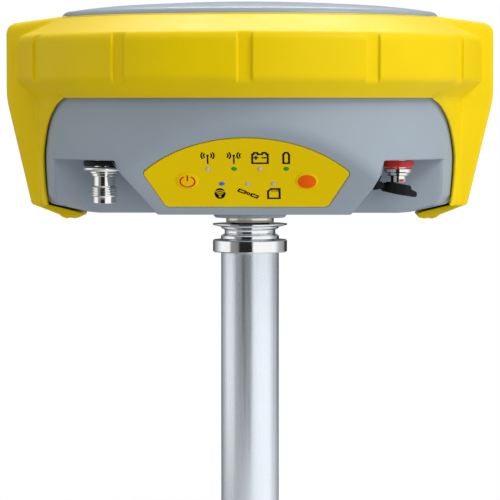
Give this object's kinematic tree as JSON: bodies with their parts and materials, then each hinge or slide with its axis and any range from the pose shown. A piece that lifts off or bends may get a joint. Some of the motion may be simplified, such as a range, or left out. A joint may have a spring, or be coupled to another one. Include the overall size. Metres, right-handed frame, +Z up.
{
  "type": "satellite positioning receiver",
  "caption": "Round survey receiver with a yellow bumper shell, grey dome and housing, sloped keypad and side connectors, screwed on the top section of its pole.",
  "frame": {"origin": "centre of the lower face of the pole section, on the pole's axis", "axes": "+Z up along the pole, -Y out of the keypad side, +X to the right as seen from the keypad side"},
  "size_m": [0.198, 0.1908, 0.216],
  "materials": {
    "yellow_shell": "fine-textured yellow moulded plastic",
    "panel_yellow": "printed yellow keypad film",
    "grey_housing": "fine-textured blue-grey moulded plastic",
    "radome_grey": "satin blue-grey moulded plastic",
    "steel": "bright turned steel",
    "tube": "satin drawn tube",
    "port_metal": "bright plated metal",
    "brass": "machined brass",
    "rubber": "black moulded rubber",
    "black_plastic": "black moulded plastic",
    "red_plastic": "glossy red ring",
    "orange_plastic": "glossy orange key",
    "lamp": "clear indicator lens",
    "white_plastic": "white insulating plastic",
    "board": "coated circuit board",
    "tinned_metal": "tinned sheet metal"
  },
  "bodies": {
    "pole": {"pole_foot": "steel", "pole_tube": "tube", "pole_collar": "steel", "pole_stub": "steel"},
    "receiver": {"bumper_shell": "yellow_shell", "radome": "radome_grey", "radome_seal": "rubber", "housing_seal": "rubber", "lower_housing": "grey_housing", "thread_insert": "brass", "housing_screw_1": "steel", "housing_screw_2": "steel", "housing_screw_3": "steel", "housing_screw_4": "steel", "keypad_panel": "panel_yellow", "lamp_lens_1": "lamp", "lamp_lens_2": "lamp", "lamp_lens_3": "lamp", "lamp_lens_4": "lamp", "lamp_lens_5": "lamp", "lamp_lens_6": "lamp", "lamp_lens_7": "lamp", "keypad_board": "board", "port_washer": "rubber", "port_body": "port_metal", "port_insulator": "white_plastic", "port_pin": "brass", "port_nut": "port_metal", "socket_ring": "red_plastic", "socket_body": "port_metal", "socket_insert": "black_plastic", "socket_nut": "port_metal", "cap_strap": "rubber", "door_hinge_pin": "steel", "battery_contacts": "black_plastic", "board_post_1": "brass", "board_post_2": "brass", "board_post_3": "brass", "board_post_4": "brass", "main_board": "board", "radio_shield": "tinned_metal", "radio_module": "tinned_metal", "card_reader": "tinned_metal", "antenna_post_1": "white_plastic", "antenna_post_2": "white_plastic", "antenna_post_3": "white_plastic", "antenna_post_4": "white_plastic", "ground_plane": "tinned_metal", "antenna_element": "white_plastic"},
    "power_button": {"power_button": "panel_yellow"},
    "function_button": {"function_button": "orange_plastic"},
    "battery_door": {"battery_door": "grey_housing"},
    "door_latch": {"door_latch": "black_plastic"},
    "battery": {"battery": "black_plastic"},
    "dust_cap": {"dust_cap": "rubber"}
  },
  "joints": [
    {"name": "receiver_turn", "type": "hinge", "parent": "pole", "child": "receiver", "pos_m": [0, 0, 0.128], "axis": [0, 0, 1], "continuous": true},
    {"name": "power_button_press", "type": "slide", "parent": "receiver", "child": "power_button", "axis": [0, 0.7431, 0.6691], "range_m": [0, 0.0005], "stiffness_N_per_m": 1500},
    {"name": "function_button_press", "type": "slide", "parent": "receiver", "child": "function_button", "axis": [0, 0.7431, 0.6691], "range_m": [0, 0.0005], "stiffness_N_per_m": 1500},
    {"name": "battery_door_hinge", "type": "hinge", "parent": "receiver", "child": "battery_door", "pos_m": [0, 0.0743, 0.1322], "axis": [-1, 0, 0], "range_deg": [0, 110]},
    {"name": "door_latch_slide", "type": "slide", "parent": "battery_door", "child": "door_latch", "axis": [1, 0, 0], "range_m": [0, 0.006]},
    {"name": "battery_slide", "type": "slide", "parent": "receiver", "child": "battery", "axis": [0, 1, 0], "range_m": [0, 0.0058]},
    {"name": "dust_cap_hinge", "type": "hinge", "parent": "receiver", "child": "dust_cap", "pos_m": [0.0526, -0.046, 0.1425], "axis": [0, 1, 0], "range_deg": [-10, 70], "stiffness_Nm_per_rad": 0.002}
  ],
  "couplings": [
    {"joint": "battery_door_hinge", "follows": "battery_slide", "rad_per_m": 330}
  ]
}
